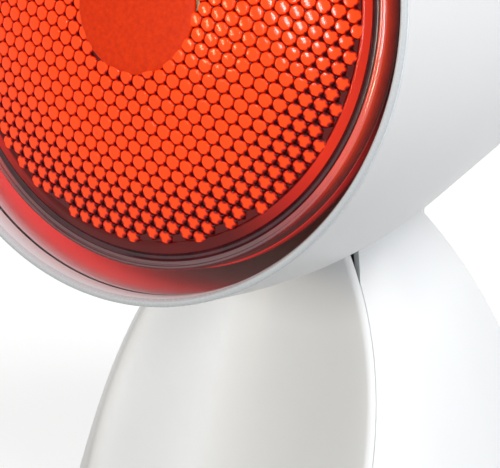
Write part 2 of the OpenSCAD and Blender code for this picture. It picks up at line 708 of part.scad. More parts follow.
module ballast_screws() color(steel) for (s = [-1, 1])
    translate([s * ballast_screw_x, ballast_y, ballast_z + ballast_t + seat])
        mirror([0, 0, 1]) pan_screw(ballast_t + plate_t - 0.2);

block_y = pivot_y - 4.6;
block_z = ballast_z + ballast_t + seat;
block_h = 10;
lead_x = 4.3;
lead_r = 1.1;

module terminal_block() color([0.88, 0.87, 0.80]) difference() {
    translate([-10, block_y - 6, block_z]) cube([20, 12, block_h]);
    for (s = [-1, 1]) {
        translate([s * lead_x, block_y, block_z + 2]) cylinder(r = lead_r + 0.15, h = 20, $fn = 32);
        translate([s * lead_x, block_y, block_z + 5]) rotate([90, 0, 0]) cylinder(r = 1.7, h = 20, $fn = 32);
    }
}

module terminal_screws() color(steel) for (s = [-1, 1])
    translate([s * lead_x, block_y - 6.4, block_z + 5]) rotate([-90, 0, 0])
        cylinder(r = 1.6, h = 5, $fn = 32);

module stand_leads() color([0.75, 0.72, 0.66]) for (s = [-1, 1])
    translate([s * lead_x, block_y, block_z + 2.2])
        cylinder(r = lead_r, h = pivot_z - block_z - 2.2, $fn = 32);

// ---- cord gland ----
gland_in = 8;
module cord_gland() color(white) translate([0, gland_seat_y, gland_z]) rotate([-90, 0, 0])
    difference() {
        union() {
            translate([0, 0, seat]) cylinder(r = gland_flange_r, h = 1.4);
            translate([0, 0, 1.4]) cylinder(r1 = gland_flange_r, r2 = gland_r, h = 1.6);
            translate([0, 0, -gland_in]) cylinder(r = gland_r, h = gland_in + 1);
        }
        translate([0, 0, -gland_in - 1]) cylinder(r = gland_bore_r, h = 30);
    }

module gland_nut() color(white) translate([0, gland_seat_y - 5 - seat, gland_z]) rotate([90, 0, 0])
    difference() {
        cylinder(r = gland_flange_r + 0.6, h = 2.4, $fn = 6);
        translate([0, 0, -1]) cylinder(r = gland_r + 0.05, h = 6);
    }

// ---- rocker switch ----
rocker_pivot = -2.4;
rocker_pin_r = 1.2;
switch_depth = 15;

module switch_body() color(black) switch_frame() difference() {
    union() {
        centred_box(switch_out_w + 3, switch_out_len + 3, -switch_seat + seat, switch_flange - switch_seat);
        centred_box(switch_out_w, switch_out_len, -switch_depth, 0);
    }
    centred_box(switch_in_w, switch_in_len, -9, 5);
    translate([0, 0, rocker_pivot]) bar_x(rocker_pin_r + 0.05, switch_out_w - 0.6);
}

module switch_tabs() color(brass) switch_frame() for (s = [-1, 1])
    translate([0, s * 5, -switch_depth - 7 - seat]) difference() {
        centred_box(4.8, 0.8, 0, 7);
        translate([0, 2, 2.4]) rotate([90, 0, 0]) cylinder(r = 0.8, h = 4, $fn = 24);
    }

rocker_top = switch_flange - switch_seat + 0.3;
module rocker() color(black) switch_frame() translate([0, 0, rocker_pivot]) rotate([-rocker_tilt, 0, 0]) {
    rotate([90, 0, 90]) translate([0, 0, -rocker_w / 2]) linear_extrude(rocker_w) polygon([
        [-rocker_len / 2, rocker_len / 2 * tan(rocker_tilt) + rocker_top - rocker_pivot],
        [0, rocker_top - rocker_pivot],
        [rocker_len / 2, rocker_len / 2 * tan(rocker_tilt) + rocker_top - rocker_pivot],
        [rocker_len / 2 - 0.4, -0.5], [4, -4], [-4, -4], [-rocker_len / 2 + 0.4, -0.5]]);
    bar_x(rocker_pin_r, switch_out_w - 1);
}

shade();
rear_cover();
cover_screws();
lamp_bracket();
bracket_screws();
lampholder();
holder_shell();
holder_contact();
holder_screws();
bulb_lens();
bulb_reflector();
bulb_cap();
bulb_insulator();
bulb_contact();
filament();
filament_mount();
pivot_axle();
axle_clip();
detent_wheel();
stand_shell();
stand_front();
pivot_bushes();
thrust_washers();
detent_spring();
base_plate();
base_screws();
rubber_feet();
ballast_plate();
ballast_screws();
terminal_block();
terminal_screws();
stand_leads();
cord_gland();
gland_nut();
switch_body();
switch_tabs();
rocker();
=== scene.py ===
import math

import bmesh
import bpy
import numpy as np
from mathutils import Matrix, Quaternion, Vector


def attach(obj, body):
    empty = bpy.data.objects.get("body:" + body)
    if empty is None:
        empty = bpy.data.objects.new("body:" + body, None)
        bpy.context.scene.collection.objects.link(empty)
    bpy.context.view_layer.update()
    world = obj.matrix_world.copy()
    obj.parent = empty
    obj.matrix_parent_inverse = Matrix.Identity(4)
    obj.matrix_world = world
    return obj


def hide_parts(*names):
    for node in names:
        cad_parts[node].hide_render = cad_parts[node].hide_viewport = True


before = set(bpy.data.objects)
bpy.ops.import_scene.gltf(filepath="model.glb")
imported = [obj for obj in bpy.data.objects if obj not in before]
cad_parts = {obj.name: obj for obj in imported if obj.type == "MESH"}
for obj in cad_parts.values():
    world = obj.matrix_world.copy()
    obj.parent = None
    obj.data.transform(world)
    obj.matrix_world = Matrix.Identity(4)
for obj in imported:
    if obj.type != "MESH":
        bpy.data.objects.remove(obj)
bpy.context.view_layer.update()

scene = bpy.context.scene
MM = 0.001                             # lengths below are in millimetres, Blender's in metres

# ---- head frame: x across, p down, l back from the rim plane ----
TILT = math.radians(10)                # the head looks up this far at rest
RIM = (0.0, -67.2922, 132.523)         # middle of the rim


def head_point(x, p, l):
    """A point of the head frame as metres in the row frame."""
    return (
        x * MM,
        (RIM[1] + l * math.cos(TILT) - p * math.sin(TILT)) * MM,
        (RIM[2] - l * math.sin(TILT) - p * math.cos(TILT)) * MM,
    )


BELL_R0 = 68.05                        # radius of the bell at the rim plane
BELL_R = 215.0                         # radius of the bell's arc, seen from the side
TAPER = math.radians(18)               # slope of the cone behind the arc
CAP_R = 41.9884                        # radius of the ball-shaped rear end
WALL = 2.0                             # thickness of the shade
BELL_C = BELL_R0 - BELL_R
TAPER_K = BELL_C * math.cos(TAPER) + BELL_R
CAP_L = (TAPER_K - CAP_R) / math.sin(TAPER)


def head_r(l, inset=0.0):
    """Radius of the head's outline at l, moved inwards by inset."""
    if l < (BELL_R - inset) * math.sin(TAPER):
        return BELL_C + math.sqrt((BELL_R - inset) ** 2 - l * l)
    if l < CAP_L + (CAP_R - inset) * math.sin(TAPER):
        return (TAPER_K - inset - l * math.sin(TAPER)) / math.cos(TAPER)
    return math.sqrt(max(0.0, (CAP_R - inset) ** 2 - (l - CAP_L) ** 2))


# ---- mesh helpers ----
def add_mesh(name, verts, faces, mats, angle, glow=None):
    """A smooth mesh with edges over angle degrees sharp; glow is one value per vertex."""
    mesh = bpy.data.meshes.new(name)
    mesh.from_pydata([tuple(v) for v in verts], [], [tuple(f) for f in faces])
    mesh.validate()
    obj = bpy.data.objects.new(name, mesh)
    scene.collection.objects.link(obj)
    for m in mats:
        mesh.materials.append(m)
    if glow:
        values = mesh.attributes.new("glow", "FLOAT", "POINT")
        values.data.foreach_set("value", np.asarray(glow, np.float32))
    shade(obj, angle)
    return obj


def shade(obj, angle):
    """Shades obj smooth and keeps the edges over angle degrees sharp."""
    obj.data.polygons.foreach_set("use_smooth", [True] * len(obj.data.polygons))
    obj.data.set_sharp_from_angle(angle=math.radians(angle))


AROUND = 240                           # steps round the head's axis
AXIS_R = 1e-6                          # a point nearer to the axis than this lies on it


def lathe(profile, n=AROUND):
    """Rings round the head's axis through the (l, r) points of a closed or open profile."""
    verts, faces, rows = [], [], []
    for l, r in profile:
        if r < AXIS_R:
            rows.append([len(verts)])
            verts.append(head_point(0, 0, l))
            continue
        rows.append(list(range(len(verts), len(verts) + n)))
        for i in range(n):
            a = 2 * math.pi * i / n
            verts.append(head_point(r * math.cos(a), r * math.sin(a), l))
    for a, b in zip(rows, rows[1:]):
        for i in range(n):
            j = (i + 1) % n
            if len(a) == 1:
                faces.append((a[0], b[j], b[i]))
            elif len(b) == 1:
                faces.append((a[i], a[j], b[0]))
            else:
                faces.append((a[i], a[j], b[j], b[i]))
    return verts, faces


def round_values(profile, rule, n=AROUND):
    """rule(l, r, angle) for each vertex of lathe(profile, n); 90 degrees is the lowest point."""
    out = []
    for l, r in profile:
        steps = 1 if r < AXIS_R else n
        out += [rule(l, r, 2 * math.pi * k / n) for k in range(steps)]
    return out


def arc(cl, cr, rad, a0, a1, n):
    """Points (l, r) on an arc; the angle is from +r towards +l, in degrees."""
    out = []
    for i in range(n + 1):
        a = math.radians(a0 + (a1 - a0) * i / n)
        out.append((cl + rad * math.sin(a), cr + rad * math.cos(a)))
    return out


def outward(obj):
    """Turns every face outwards."""
    bm = bmesh.new()
    bm.from_mesh(obj.data)
    bmesh.ops.recalc_face_normals(bm, faces=bm.faces)
    bm.to_mesh(obj.data)
    bm.free()


def cut(obj, cutter):
    """Takes the cutter's volume from obj and removes the cutter."""
    mod = obj.modifiers.new("cut", "BOOLEAN")
    mod.operation = "DIFFERENCE"
    mod.solver = "EXACT"
    mod.object = cutter
    bpy.context.view_layer.update()
    dg = bpy.context.evaluated_depsgraph_get()
    made = bpy.data.meshes.new_from_object(obj.evaluated_get(dg))
    obj.modifiers.remove(mod)
    old = obj.data
    obj.data = made
    bpy.data.meshes.remove(old)
    bpy.data.objects.remove(cutter)


# ---- materials ----
def new_mat(name):
    """A material with one Principled shader: material, node tree, shader."""
    m = bpy.data.materials.new(name)
    m.use_nodes = True
    nt = m.node_tree
    nt.nodes.clear()
    out = nt.nodes.new("ShaderNodeOutputMaterial")
    sh = nt.nodes.new("ShaderNodeBsdfPrincipled")
    nt.links.new(sh.outputs[0], out.inputs[0])
    return m, nt, sh


def coords(nt):
    return nt.nodes.new("ShaderNodeTexCoord").outputs["Object"]


def glow_value(nt):
    """The mesh's glow attribute: 0 is dark, 1 is lit by the lamp; it carries painted light and
    shade.
    """
    at = nt.nodes.new("ShaderNodeAttribute")
    at.attribute_name = "glow"
    return at.outputs["Fac"]


def noise(nt, vec, scale, detail=3.0, rough=0.5):
    n = nt.nodes.new("ShaderNodeTexNoise")
    n.inputs["Scale"].default_value = scale
    n.inputs["Detail"].default_value = detail
    n.inputs["Roughness"].default_value = rough
    nt.links.new(vec, n.inputs["Vector"])
    return n.outputs["Fac"]


def clouded(nt, value, fac, share):
    """value plus a share of the noise fac."""
    mix = nt.nodes.new("ShaderNodeMath")
    mix.operation = "MULTIPLY_ADD"
    nt.links.new(fac, mix.inputs[0])
    mix.inputs[1].default_value = share
    nt.links.new(value, mix.inputs[2])
    return mix.outputs[0]


def ramp(nt, fac, stops):
    r = nt.nodes.new("ShaderNodeValToRGB")
    cr = r.color_ramp
    while len(cr.elements) < len(stops):
        cr.elements.new(0.5)
    for e, (pos, col) in zip(cr.elements, stops):
        e.position = pos
        e.color = (*col, 1.0)
    nt.links.new(fac, r.inputs["Fac"])
    return r.outputs["Color"]


def bump(nt, fac, strength, distance):
    b = nt.nodes.new("ShaderNodeBump")
    b.inputs["Strength"].default_value = strength
    b.inputs["Distance"].default_value = distance
    nt.links.new(fac, b.inputs["Height"])
    return b.outputs["Normal"]


def smooth(x):
    """0 below 0, 1 above 1, with a soft step between."""
    x = min(1.0, max(0.0, x))
    return x * x * (3 - 2 * x)


def grey(v):
    return (v, v, v)


def scaled(col, k):
    return tuple(min(1.0, c * k) for c in col)


def grained(name, col, rough, grain=900.0, depth=0.00004, spread=0.03, metallic=0.0,
            specular=0.5, coat=0.0, mottle=30.0):
    """Moulded or plated surface: faint mottling, fine grain in the bump, uneven gloss."""
    m, nt, sh = new_mat(name)
    vec = coords(nt)
    soft = noise(nt, vec, mottle, 4.0)
    fine = noise(nt, vec, grain, 2.0)
    c = ramp(nt, soft, [(0.3, scaled(col, 1 - spread)), (0.7, scaled(col, 1 + spread))])
    nt.links.new(c, sh.inputs["Base Color"])
    r = ramp(nt, fine, [(0.25, grey(max(0.02, rough - 0.06))), (0.75, grey(rough + 0.06))])
    nt.links.new(r, sh.inputs["Roughness"])
    nt.links.new(bump(nt, fine, 0.35, depth), sh.inputs["Normal"])
    sh.inputs["Metallic"].default_value = metallic
    sh.inputs["Specular IOR Level"].default_value = specular
    sh.inputs["Coat Weight"].default_value = coat
    sh.inputs["Coat Roughness"].default_value = 0.12
    return m


def srgb(r, g, b):
    """Linear colour from 8-bit display values."""
    def lin(v):
        v /= 255.0
        return v / 12.92 if v <= 0.04045 else ((v + 0.055) / 1.055) ** 2.4
    return (lin(r), lin(g), lin(b))


WHITE = grained("white_shell", srgb(238, 240, 242), 0.34, spread=0.008, specular=0.4, grain=1600.0)
# The rim is the shell's white plastic with a satin finish; its darker tone is painted shade.
RIM_SHADED_WHITE = grained("rim_satin_painted_shade", srgb(208, 214, 219), 0.26, spread=0.008, specular=0.5, grain=1600.0)
BASE = grained("base_moulding", srgb(214, 216, 218), 0.5, spread=0.02)
ZINC = grained("zinc_steel", (0.56, 0.57, 0.60), 0.3, metallic=1.0, spread=0.06, grain=500.0)
SPRING = grained("spring_steel", (0.38, 0.39, 0.42), 0.28, metallic=1.0, spread=0.06, grain=500.0)
BALLAST = grained("ballast_steel", (0.32, 0.32, 0.33), 0.5, metallic=1.0, spread=0.1, grain=300.0)
STEM = grained("stem_wire", (0.42, 0.42, 0.41), 0.35, metallic=1.0, spread=0.05, grain=500.0)
TUNGSTEN = grained("tungsten", (0.2, 0.19, 0.18), 0.45, metallic=1.0, spread=0.08, grain=2000.0)
PORCELAIN = grained("porcelain", srgb(236, 232, 220), 0.16, spread=0.015, coat=0.6, grain=200.0)
BLACK_GLASS = grained("black_glass", (0.012, 0.012, 0.014), 0.12, spread=0.1, coat=0.5)
BRASS = grained("brass", (0.66, 0.46, 0.17), 0.3, metallic=1.0, spread=0.06, grain=500.0)
NICKEL = grained("nickel_brass", (0.6, 0.58, 0.52), 0.28, metallic=1.0, spread=0.05, grain=400.0)
SOLDER = grained("solder", (0.42, 0.42, 0.4), 0.42, metallic=1.0, spread=0.1, grain=600.0)
NATURAL = grained("natural_plastic", srgb(226, 222, 206), 0.42, spread=0.02)
CREAM = grained("cream_plastic", srgb(222, 214, 190), 0.45, spread=0.02)
SLEEVE = grained("lead_sleeve", srgb(205, 200, 186), 0.8, spread=0.12, grain=2600.0, depth=0.0002,
                 mottle=1500.0)
RUBBER = grained("black_rubber", (0.018, 0.018, 0.018), 0.72, spread=0.15, grain=1200.0)
BLACK = grained("black_plastic", (0.02, 0.02, 0.022), 0.3, spread=0.08)


def lens_glass():
    """Red pressed glass lit from within: the glow runs from 0 in the pits to 1 on a cell's crown;
    the dark pits and edges are painted shade.
    """
    m, nt, sh = new_mat("stippled_red_glass")
    vec = coords(nt)
    level = clouded(nt, glow_value(nt), noise(nt, vec, 60.0, 3.0), 0.14)
    col = ramp(nt, level, [
        (0.06, (0.010, 0.0, 0.0)), (0.30, (0.10, 0.002, 0.001)), (0.55, (0.42, 0.008, 0.002)),
        (0.80, (0.72, 0.022, 0.0)), (1.0, (0.90, 0.060, 0.0))])
    nt.links.new(col, sh.inputs["Base Color"])
    nt.links.new(col, sh.inputs["Emission Color"])
    sh.inputs["Emission Strength"].default_value = 0.42
    sh.inputs["Roughness"].default_value = 0.10
    sh.inputs["Specular IOR Level"].default_value = 0.22
    nt.links.new(bump(nt, noise(nt, vec, 700.0, 2.0), 0.12, 0.0001), sh.inputs["Normal"])
    return m


def plain_glass(name, col, dark, rough, glow, specular, scale):
    """Smooth or frosted red glass, clouded between two colours."""
    m, nt, sh = new_mat(name)
    vec = coords(nt)
    f = noise(nt, vec, scale, 4.0, 0.6)
    c = ramp(nt, f, [(0.3, dark), (0.68, col)])
    nt.links.new(c, sh.inputs["Base Color"])
    nt.links.new(c, sh.inputs["Emission Color"])
    sh.inputs["Emission Strength"].default_value = glow
    sh.inputs["Roughness"].default_value = rough
    sh.inputs["Specular IOR Level"].default_value = specular
    nt.links.new(bump(nt, noise(nt, vec, 1500.0, 2.0), 0.25, 0.00006), sh.inputs["Normal"])
    return m


def lit_glass():
    """Red glass of the reflector: the glow, painted light set by angle, says how much of the lamp's
    light leaks out.
    """
    m, nt, sh = new_mat("reflector_glass")
    vec = coords(nt)
    f = noise(nt, vec, 90.0, 4.0, 0.6)
    nt.links.new(ramp(nt, f, [(0.3, (0.05, 0.002, 0.002)), (0.68, (0.15, 0.005, 0.004))]),
                 sh.inputs["Base Color"])
    leak = ramp(nt, glow_value(nt), [(0.0, (0.004, 0.0, 0.0)), (1.0, (0.60, 0.016, 0.012))])
    nt.links.new(leak, sh.inputs["Emission Color"])
    sh.inputs["Emission Strength"].default_value = 2.8
    sh.inputs["Roughness"].default_value = 0.1
    nt.links.new(bump(nt, noise(nt, vec, 1500.0, 2.0), 0.25, 0.00006), sh.inputs["Normal"])
    return m


def flange_glass():
    """Clear red glass edge: the glow attribute, painted light and shade, brightens it all round but
    at the bottom.
    """
    m, nt, sh = new_mat("flange_red_glass")
    vec = coords(nt)
    level = clouded(nt, glow_value(nt), noise(nt, vec, 140.0, 4.0, 0.6), 0.3)
    col = ramp(nt, level, [
        (0.10, (0.030, 0.003, 0.006)), (0.35, (0.11, 0.006, 0.009)),
        (0.70, (0.45, 0.016, 0.008)), (1.0, (0.80, 0.045, 0.010))])
    nt.links.new(col, sh.inputs["Base Color"])
    nt.links.new(col, sh.inputs["Emission Color"])
    sh.inputs["Emission Strength"].default_value = 0.25
    sh.inputs["Roughness"].default_value = 0.07
    sh.inputs["Specular IOR Level"].default_value = 0.7
    sh.inputs["Coat Weight"].default_value = 1.0
    sh.inputs["Coat Roughness"].default_value = 0.03
    nt.links.new(bump(nt, noise(nt, vec, 1200.0, 2.0), 0.15, 0.00005), sh.inputs["Normal"])
    return m


LENS = lens_glass()
FROST = plain_glass("frosted_red_glass", (0.68, 0.034, 0.001), (0.56, 0.022, 0.001),
                    rough=0.5, glow=0.38, specular=0.15, scale=900.0)
# The groove is the bulb's red glass; its dark colour is painted shade.
GROOVE_SHADE = plain_glass("groove_shade_glass", (0.10, 0.010, 0.016), (0.035, 0.004, 0.008),
                     rough=0.12, glow=0.02, specular=0.5, scale=160.0)
BACKGLASS = lit_glass()
FLANGE = flange_glass()

# ---- CAD nodes that stay: their materials, and smooth shading up to NODE_SPLIT ----
NODE_WELD = 1e-6                       # metres
NODE_SPLIT = math.radians(24)
NODE_MATS = {
    "rear_cover": WHITE, "cover_screws": ZINC, "lamp_bracket": ZINC, "bracket_screws": ZINC,
    "lampholder": PORCELAIN, "holder_shell": BRASS, "holder_contact": BRASS, "holder_screws": ZINC,
    "bulb_cap": NICKEL, "bulb_insulator": BLACK_GLASS, "bulb_contact": SOLDER, "filament": TUNGSTEN,
    "filament_mount": STEM, "pivot_axle": ZINC, "axle_clip": SPRING, "detent_wheel": NATURAL,
    "stand_shell": WHITE, "pivot_bushes": NATURAL, "thrust_washers": NATURAL,
    "detent_spring": SPRING,
    "base_plate": BASE, "base_screws": ZINC, "rubber_feet": RUBBER, "ballast_plate": BALLAST,
    "ballast_screws": ZINC, "terminal_block": CREAM, "terminal_screws": ZINC, "stand_leads": SLEEVE,
    "cord_gland": WHITE, "gland_nut": BASE, "switch_body": BLACK, "switch_tabs": BRASS,
    "rocker": BLACK,
}
for node, mat in NODE_MATS.items():
    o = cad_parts[node]
    o.data.materials.clear()
    o.data.materials.append(mat)
    o.data.polygons.foreach_set("material_index", [0] * len(o.data.polygons))
    o.data.polygons.foreach_set("use_smooth", [True] * len(o.data.polygons))
    w = o.modifiers.new("weld", "WELD")
    w.merge_threshold = NODE_WELD
    e = o.modifiers.new("split", "EDGE_SPLIT")
    e.split_angle = NODE_SPLIT

# ---- shade: rolled rim with a groove behind it, long bell, slot for the neck ----
RIM_BACK_L = 1.3                       # the satin rim ends here, in the groove
RIM_INNER_R = 66.7                     # and lies outside this radius
SHADE_END_L = 117.95

rim = [(4.0, head_r(4.0, WALL)), (2.4, 66.12), (1.2, 66.32), (0.3, 66.62), (-0.25, 66.88),
       (-0.62, 67.14)]
rim += arc(0.0, 67.6, 0.9, -108, 50, 18)
rim += [(0.95, 68.02), (1.15, 67.72), (1.45, 67.52), (1.75, 67.72), (1.92, 67.99),
        (2.1, head_r(2.1))]
body_l = np.concatenate([np.linspace(3, 66, 22), np.linspace(70, 117.4, 13)])
body = [(l, head_r(l)) for l in body_l]
tail = [(117.75, head_r(117.75) - 0.12), (SHADE_END_L, head_r(SHADE_END_L) - 0.5),
        (SHADE_END_L, head_r(SHADE_END_L, WALL))]
inner = [(l, head_r(l, WALL)) for l in np.linspace(116, 5.0, 30)]
v, f = lathe(rim + body + tail + inner)
shell = add_mesh("shade_bell", v, f, [WHITE, RIM_SHADED_WHITE], 30)
outward(shell)


def head_box(name, x, p, l):
    """A box between two values of each of the head's three coordinates."""
    pts = [head_point(a, b, c) for c in l for b in p for a in x]
    fs = [(0, 1, 3, 2), (4, 6, 7, 5), (0, 4, 5, 1), (2, 3, 7, 6), (0, 2, 6, 4), (1, 5, 7, 3)]
    o = add_mesh(name, pts, fs, [WHITE], 30)
    outward(o)
    return o


cut(shell, head_box("slot", x=(-11.1, 11.1), p=(28.3, 80), l=(92.68, 130)))
shade(shell, 30)
# Faces of the rim get the satin material, whose darker tone is painted shade.
for face in shell.data.polygons:
    off = face.center / MM - Vector(RIM)
    back = off.y * math.cos(TILT) - off.z * math.sin(TILT)
    face.material_index = int(back < RIM_BACK_L and off.length > RIM_INNER_R)
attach(shell, "head")
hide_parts("shade")

# ---- bulb front: domed lens with pressed cells, on a flange ring with a groove ----
BULB_R, FLANGE_L = 60.5, 4.6           # the flange's radius, and where its front lies
LENS_END_R, LENS_RISE = 57.1, 10.8     # the lens's dome: half its width, and its depth
LENS_R = (LENS_END_R ** 2 + LENS_RISE ** 2) / (2 * LENS_RISE)
SKIN = 0.02                            # crowns lie this far behind the CAD lens's surface
GROUND = 0.75                          # depth of the ground between the cells
BAND_R = 54.5                          # outside this the lens is plain


def lens_l(r):
    """Where the lens's front surface lies at the radius r."""
    return FLANGE_L - LENS_RISE + LENS_R - math.sqrt(LENS_R ** 2 - r * r)


def ground_painted_shade(l, r, a):
    """Painted shade: dark under the cells; the plain band outside them is bright but for its lowest
    part.
    """
    return 0.2 if r < BAND_R else 0.20 + 0.46 * smooth((0.97 - math.sin(a)) / 0.5)


prof = [(lens_l(r) + GROUND, r) for r in np.linspace(0.0, 53.9, 30)]
prof += [(lens_l(54.3) + 0.35, 54.3), (lens_l(54.7) + 0.06, 54.7)]
prof += [(lens_l(r) + SKIN, r) for r in (55.0, 55.6, 56.2, 56.6)]
prof += [(FLANGE_L + 0.75, 57.0), (FLANGE_L + 1.0, 57.3)]
v, f = lathe(prof)
lens_base = add_mesh("lens_ground", v, f, [LENS], 40, round_values(prof, ground_painted_shade))
outward(lens_base)

# cells: hexagons on a lattice round START, each a low crown with a steep edge
PITCH, TURN = 3.478, math.radians(10.75)
A = np.array([math.cos(TURN), math.sin(TURN)]) * PITCH
B = np.array([math.cos(TURN + math.pi / 3), math.sin(TURN + math.pi / 3)]) * PITCH
START = np.array([-35.05, 19.42])
REACH = 60                             # lattice steps each way, past the lens's edge
DISC_R = 16.0                          # the plain disc in the middle
FIRST_R, LAST_R = DISC_R - 0.9, 54.0   # cells have their middles between these radii
FIELD_R = 55.2                         # and end here
SEG = 24
RINGS = [0.0, 0.2, 0.38, 0.54, 0.66, 0.76, 0.84, 0.90, 0.95, 1.0]
CROWN, CROWN_END = 0.06, 0.82          # a crown's rise, and the share of the cell it takes
EDGE_DROP = 0.66                       # depth of the steep edge round it
CORNER_R = PITCH / math.sqrt(3)
CORNER_TURNS = [TURN + math.radians(30 + 60 * k) for k in range(6)]
CORNERS = [(CORNER_R * math.cos(a), CORNER_R * math.sin(a)) for a in CORNER_TURNS]


def hex_reach(a):
    """Distance from a cell's middle to its straight side at the angle a."""
    turn = (a - TURN + math.pi / 6) % (math.pi / 3) - math.pi / 6
    return PITCH / 2 / math.cos(turn)


def pit_shade_sizes(x, p):
    """Radii of the painted shade in the pits at a cell's two kinds of corners; both grow down and
    outwards.
    """
    r = math.hypot(x, p)
    low = smooth((p + 0.35 * x + 4) / 46)
    rim_side = smooth((r - 33) / 19)
    near_disc = smooth((22.5 - r) / 5) * smooth((9 - x) / 10)
    big = 0.42 + 0.16 * low + 0.58 * rim_side * (0.25 + 0.75 * low) + 0.28 * near_disc
    small = 0.22 + 0.10 * low + 0.52 * rim_side * (0.2 + 0.8 * low)
    return big, small


def pit_light(dists, size):
    """Painted shade: 0 in the nearest pit, 1 outside it."""
    return smooth((min(dists) - size * 0.45) / (size * 0.8))


def cell_vertex(c, q, a, pits):
    """A cell's point at the share q of the way out at the angle a, and its glow."""
    reach = q * ((1 - q * q) * PITCH / 2 * 1.03 + q * q * hex_reach(a))
    dx, dp = reach * math.cos(a), reach * math.sin(a)
    x, p = c[0] + dx, c[1] + dp
    r = math.hypot(x, p)
    if r > FIELD_R:
        x, p, r = x * FIELD_R / r, p * FIELD_R / r, FIELD_R
    crown = CROWN * (min(q, CROWN_END) / CROWN_END) ** 2
    sink = crown + EDGE_DROP * smooth((q - 0.78) / 0.22)
    near = [math.hypot(dx - cx, dp - cp) for cx, cp in CORNERS]
    pit = min(pit_light(near[0::2], pits[0]), pit_light(near[1::2], pits[1]))
    # Painted shade: the cell's steep edge is darker.
    side = 1.0 - 0.55 * smooth((q - 0.82) / 0.14)
    return head_point(x, p, lens_l(r) + SKIN + sink), 0.04 + 0.92 * side * pit


def cell_mesh():
    """Vertices, faces and glow of all cells."""
    verts, faces, glow = [], [], []
    for i in range(-REACH, REACH):
        for j in range(-REACH, REACH):
            c = START + A * i + B * j
            r = float(np.hypot(*c))
            if r > LAST_R or r < FIRST_R:
                continue
            pits = pit_shade_sizes(*c)
            first = len(verts)
            for k, q in enumerate(RINGS):
                for s in range(SEG if k else 1):
                    a = TURN + math.radians(30) + 2 * math.pi * s / SEG
                    point, lit = cell_vertex(c, q, a, pits)
                    verts.append(point)
                    glow.append(lit)
            for s in range(SEG):
                t = (s + 1) % SEG
                faces.append((first, first + 1 + s, first + 1 + t))
                for k in range(1, len(RINGS) - 1):
                    a0, b0 = first + 1 + (k - 1) * SEG, first + 1 + k * SEG
                    faces.append((a0 + s, b0 + s, b0 + t, a0 + t))
    return verts, faces, glow


v, f, glow = cell_mesh()
cells = add_mesh("lens_cells", v, f, [LENS], 60, glow)
outward(cells)

prof = [(lens_l(r) + SKIN, r) for r in np.linspace(0.0, DISC_R - 0.5, 12)]
prof += [(lens_l(DISC_R) + 0.16, DISC_R - 0.1), (lens_l(DISC_R) + 0.5, DISC_R),
         (lens_l(DISC_R) + 0.9, DISC_R)]
v, f = lathe(prof, 160)
disc = add_mesh("lens_disc", v, f, [FROST], 40)
outward(disc)


def flange_painted_light(l, r, a):
    """Painted light and shade: bright but for the lowest part, and darker behind the front."""
    side = 0.12 + 0.78 * smooth((0.95 - math.sin(a)) / 0.6)
    return side * (1.0 - 0.75 * smooth((l - FLANGE_L - 0.7) / 1.2))


prof = [(FLANGE_L + 0.9, 58.1), (FLANGE_L + 0.5, 58.25), (FLANGE_L + 0.14, 58.45),
        (FLANGE_L + 0.02, 58.75), (FLANGE_L + 0.06, 59.0), (FLANGE_L + 0.26, 59.2),
        (FLANGE_L + 0.28, 59.35), (FLANGE_L + 0.10, 59.5)]
for t in np.linspace(-88, 0, 12):
    t = math.radians(t)
    prof.append((FLANGE_L + 1.0 + 1.0 * math.sin(t), BULB_R - 0.95 + 0.95 * math.cos(t)))
prof += [(FLANGE_L + 4.55, BULB_R), (FLANGE_L + 4.65, BULB_R - 0.3)]
v, f = lathe(prof)
ring = add_mesh("flange_front", v, f, [FLANGE], 40, round_values(prof, flange_painted_light))
outward(ring)

prof = [(lens_l(56.5) + 0.3, 56.5), (lens_l(56.7) + 0.12, 56.7), (FLANGE_L + 0.45, 56.95),
        (FLANGE_L + 0.8, 57.25), (FLANGE_L + 0.9, 57.6), (FLANGE_L + 0.8, 57.95),
        (FLANGE_L + 0.45, 58.25), (FLANGE_L + 0.3, 58.5)]
v, f = lathe(prof)
groove = add_mesh("flange_groove", v, f, [GROOVE_SHADE], 40)
outward(groove)

for o in (lens_base, cells, disc, ring, groove):
    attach(o, "head")
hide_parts("bulb_lens")


# ---- bulb rear: the other half of the flange and the hollow reflector ----
DISH_L, APEX_L, NECK_R = 14.0, 94.5, 20.0
GLASS = 2.6                            # thickness of the reflector
BACK_AROUND = 200


def reflector_r(l):
    """Radius of the reflector at l: a paraboloid from DISH_L to APEX_L, but for its neck."""
    dish = math.sqrt(max(0.0, (APEX_L - l) / (APEX_L - DISH_L)))
    return max(NECK_R, (BULB_R - 0.5) * dish)


def back_painted_glow(l, r, a):
    """Painted light that leaks past the flange: most at the lower left, a little at the lower right.
    """
    left = smooth((0.26 + 0.30 * math.sin(a) - 0.8 * math.cos(a)) / 1.1)
    low = 0.30 * smooth((math.cos(a - 1.2) - 0.55) / 0.4)
    return left * smooth((26 - l) / 14) + low * smooth((13 - l) / 4)


prof = [(FLANGE_L + 4.75, BULB_R - 0.3), (FLANGE_L + 4.9, BULB_R), (FLANGE_L + 8.4, BULB_R),
        (FLANGE_L + 9.1, BULB_R - 0.35), (FLANGE_L + 9.4, BULB_R - 1.0)]
prof += [(l, reflector_r(l)) for l in np.linspace(DISH_L, 99.0, 40)]
prof += [(99.6, 19.4), (99.95, 18.6), (99.95, 11.6), (97.4, 11.6), (97.4, 17.4)]
prof += [(l, reflector_r(l) - GLASS) for l in np.linspace(96.0, 14.4, 34)]
prof += [(13.6, 54.4), (9.4, 54.4), (9.35, BULB_R - 0.4)]
v, f = lathe(prof, BACK_AROUND)
leak = round_values(prof, back_painted_glow, BACK_AROUND)
back = add_mesh("reflector_glass", v, f, [BACKGLASS], 40, leak)
outward(back)
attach(back, "head")
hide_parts("bulb_reflector")


